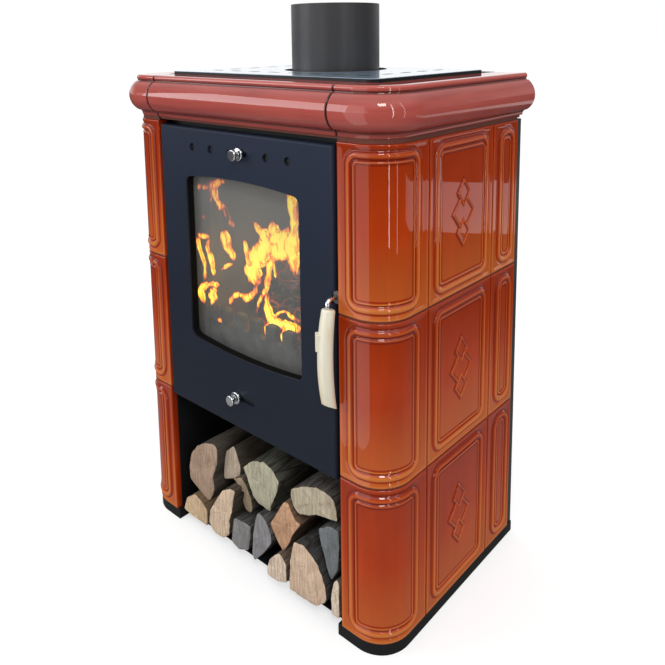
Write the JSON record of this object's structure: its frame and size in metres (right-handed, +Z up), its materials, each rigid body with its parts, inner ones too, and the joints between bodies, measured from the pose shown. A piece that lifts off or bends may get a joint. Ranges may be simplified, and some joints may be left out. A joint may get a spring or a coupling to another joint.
{
  "type": "tiled wood stove",
  "caption": "Free-standing wood stove clad in moulded glazed tiles, with a glazed steel door, a wood store below it and a flue pipe on top.",
  "frame": {"origin": "on the floor, under the middle of the plan of the body (tile face to back panel, tile face to tile face)", "axes": "+X to the right as the stove is faced, -Y the way the door faces, +Z up along the flue"},
  "size_m": [0.602, 0.4014, 0.923],
  "materials": {
    "tile_glaze": "glossy",
    "cornice_glaze": "glossy",
    "door_paint": "satin",
    "dark_steel": "matte",
    "plate_steel": "satin",
    "flue_steel": "matte",
    "cast_iron": "matte",
    "firebrick": "matte",
    "glass": "glossy",
    "rope": "matte",
    "bright_rod": "polished",
    "grip": "glossy"
  },
  "bodies": {
    "root": {"plinth": "dark_steel", "store_floor": "dark_steel", "store_ceiling": "dark_steel", "side_wall_left": "dark_steel", "side_wall_right": "dark_steel", "front_frame": "dark_steel", "back_panel": "dark_steel", "firebox_shell": "dark_steel", "ash_shelf": "dark_steel", "top_ring": "dark_steel", "top_deck": "dark_steel", "top_plate": "plate_steel", "flue_pipe": "flue_steel", "cornice_front": "cornice_glaze", "cornice_left": "cornice_glaze", "cornice_right": "cornice_glaze", "tile_rails": "dark_steel", "flue_collar": "dark_steel", "firebrick_walls": "firebrick", "firebrick_floor": "firebrick", "baffle": "firebrick", "grate": "cast_iron", "log_guard": "cast_iron", "hinge_brackets": "dark_steel", "hinge_pins": "bright_rod", "strike_plate": "dark_steel", "tile_corner_low_left": "tile_glaze", "tile_corner_low_right": "tile_glaze", "tile_corner_middle_left": "tile_glaze", "tile_corner_middle_right": "tile_glaze", "tile_corner_high_left": "tile_glaze", "tile_corner_high_right": "tile_glaze", "tile_full_low_left": "tile_glaze", "tile_full_low_right": "tile_glaze", "tile_full_middle_left": "tile_glaze", "tile_full_middle_right": "tile_glaze", "tile_full_high_left": "tile_glaze", "tile_full_high_right": "tile_glaze", "tile_narrow_low_left": "tile_glaze", "tile_narrow_low_right": "tile_glaze", "tile_narrow_middle_left": "tile_glaze", "tile_narrow_middle_right": "tile_glaze", "tile_narrow_high_left": "tile_glaze", "tile_narrow_high_right": "tile_glaze"},
    "door": {"door_panel": "door_paint", "door_lining": "dark_steel", "door_rope_seal": "rope", "glass_seal": "rope", "window_glass": "glass", "glass_clips": "dark_steel", "hinge_leaves": "dark_steel", "slide_guides": "dark_steel", "latch_bearing": "dark_steel"},
    "latch": {"latch_lever": "bright_rod", "handle_grip": "grip"},
    "high_air": {"high_air_slide": "dark_steel", "high_air_knob": "bright_rod"},
    "low_air": {"low_air_slide": "dark_steel", "low_air_knob": "bright_rod"},
    "pan": {"ash_pan": "dark_steel"}
  },
  "joints": [
    {"name": "door_hinge", "type": "hinge", "parent": "root", "child": "door", "pos_m": [-0.1835, -0.1745, 0.485], "axis": [0, 0, -1], "range_deg": [0, 100]},
    {"name": "latch_turn", "type": "hinge", "parent": "door", "child": "latch", "pos_m": [0.192, -0.1745, 0.518], "axis": [0, -1, 0], "range_deg": [0, 80]},
    {"name": "high_air_slide", "type": "slide", "parent": "door", "child": "high_air", "axis": [1, 0, 0], "range_m": [-0.026, 0.012]},
    {"name": "low_air_slide", "type": "slide", "parent": "door", "child": "low_air", "axis": [1, 0, 0], "range_m": [-0.002, 0.036]},
    {"name": "ash_pan_slide", "type": "slide", "parent": "root", "child": "pan", "axis": [0, -1, 0], "range_m": [0, 0.23]}
  ],
  "couplings": [
    {"joint": "ash_pan_slide", "follows": "door_hinge", "m_per_rad": 0.13}
  ]
}
